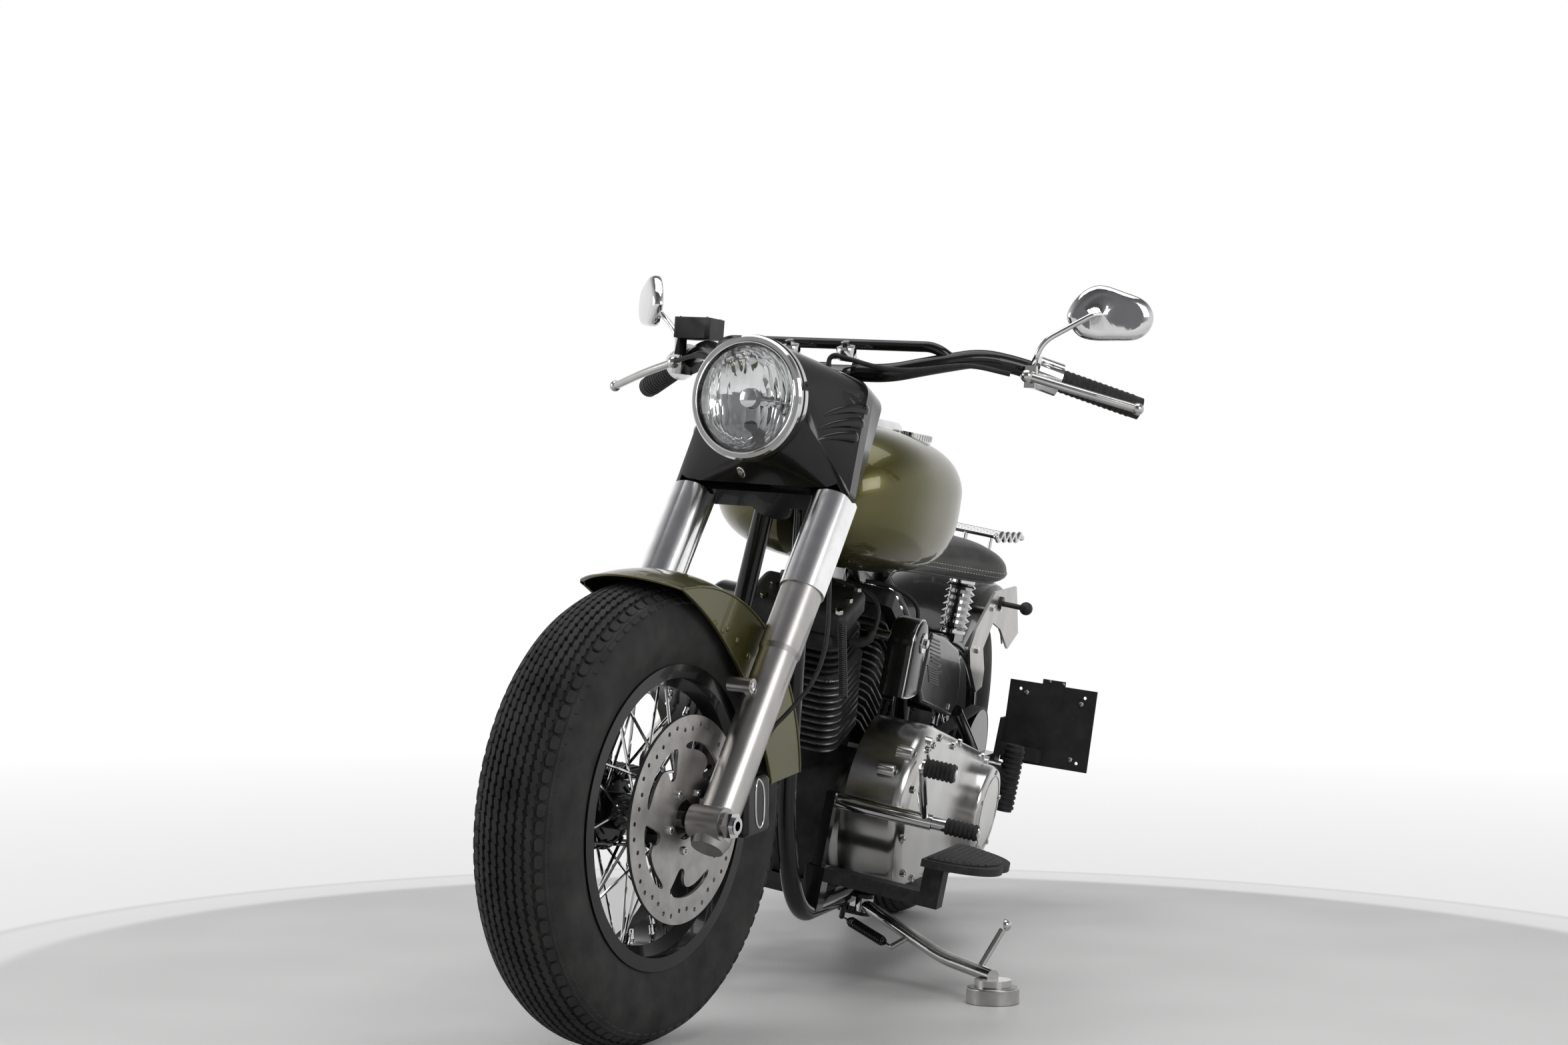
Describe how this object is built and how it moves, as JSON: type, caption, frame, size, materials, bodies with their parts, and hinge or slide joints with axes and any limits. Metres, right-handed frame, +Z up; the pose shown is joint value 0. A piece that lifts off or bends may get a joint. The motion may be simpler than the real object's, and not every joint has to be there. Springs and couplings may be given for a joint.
{
  "type": "cruiser motorcycle",
  "caption": "Solo-seat cruiser motorcycle leaning on its side stand, with wire wheels, steering and stand that move.",
  "frame": {"origin": "on the floor under the middle of the bounding box of the parked machine", "axes": "+X forward along the chassis, +Y to the rider's left, +Z up; the machine leans to +Y on its side stand"},
  "size_m": [2.2925, 1.0468, 1.1765],
  "materials": {
    "black_paint": "gloss black",
    "black_plastic": "fine grain",
    "black_rim": "gloss black",
    "black_rubber": "moulded",
    "chrome": "bright chrome",
    "disc_steel": "ground stainless",
    "engine_black": "wrinkle black",
    "lamp_glass": "clear",
    "olive_paint": "olive gold metallic, clear coat",
    "polished_aluminium": "polished",
    "satin_aluminium": "satin turned",
    "seat_leather": "black leather, pale stitching",
    "spoke_steel": "bright stainless",
    "tyre": "matt black rubber"
  },
  "bodies": {
    "chassis": {"frame": "black_paint", "swingarm": "black_paint", "crankcase": "engine_black", "front_cylinder": "engine_black", "rear_cylinder": "engine_black", "rocker_covers": "engine_black", "pushrod_tubes": "chrome", "primary_cover": "polished_aluminium", "air_cleaner": "black_paint", "exhaust": "chrome", "oil_tank": "black_paint", "side_cover": "black_paint", "horn": "black_paint", "regulator": "black_plastic", "fuel_tank": "olive_paint", "tank_console": "chrome", "seat": "seat_leather", "seat_springs": "chrome", "rear_fender": "olive_paint", "fender_struts": "chrome", "rack": "chrome", "rear_indicators": "black_plastic", "plate_holder": "black_plastic", "floorboards": "black_rubber", "foot_controls": "chrome", "passenger_pegs": "black_rubber", "drive_belt": "black_rubber", "rear_caliper": "black_paint", "rear_axle": "chrome"},
    "steering": {"fork_sliders": "satin_aluminium", "fork_covers": "chrome", "fork_yokes": "black_paint", "nacelle": "black_paint", "headlamp": "chrome", "headlamp_lens": "lamp_glass", "handlebar": "black_paint", "bar_risers": "chrome", "grips": "black_rubber", "levers": "polished_aluminium", "hand_controls": "chrome", "mirrors": "chrome", "control_cables": "black_rubber", "front_fender": "olive_paint", "front_caliper": "black_paint", "front_axle": "chrome"},
    "front_wheel": {"front_tyre": "tyre", "front_rim": "black_rim", "front_spokes": "spoke_steel", "front_hub": "black_rim", "front_disc": "disc_steel"},
    "rear_wheel": {"rear_tyre": "tyre", "rear_rim": "black_rim", "rear_spokes": "spoke_steel", "rear_hub": "black_rim", "rear_disc": "disc_steel"},
    "side_stand": {"side_stand": "chrome", "stand_puck": "satin_aluminium", "stand_spring": "black_paint"}
  },
  "joints": [
    {"name": "steering_turn", "type": "hinge", "parent": "chassis", "child": "steering", "pos_m": [0.45964, -0.02184, 0.82828], "axis": [-0.5165, 0.1663, 0.84], "range_deg": [-15.3, 44.7]},
    {"name": "front_wheel_spin", "type": "hinge", "parent": "steering", "child": "front_wheel", "pos_m": [0.81719, -0.13163, 0.33457], "axis": [0.2173, 0.9743, -0.0593], "continuous": true},
    {"name": "rear_wheel_spin", "type": "hinge", "parent": "chassis", "child": "rear_wheel", "pos_m": [-0.8165, -0.1214, 0.32543], "axis": [0, 0.981, -0.1942], "continuous": true},
    {"name": "stand_fold", "type": "hinge", "parent": "chassis", "child": "side_stand", "pos_m": [-0.0315, -0.0175, 0.112], "axis": [0.0759, 0.174, 0.9818], "range_deg": [0, 129], "deforming": ["stand_spring"]}
  ]
}
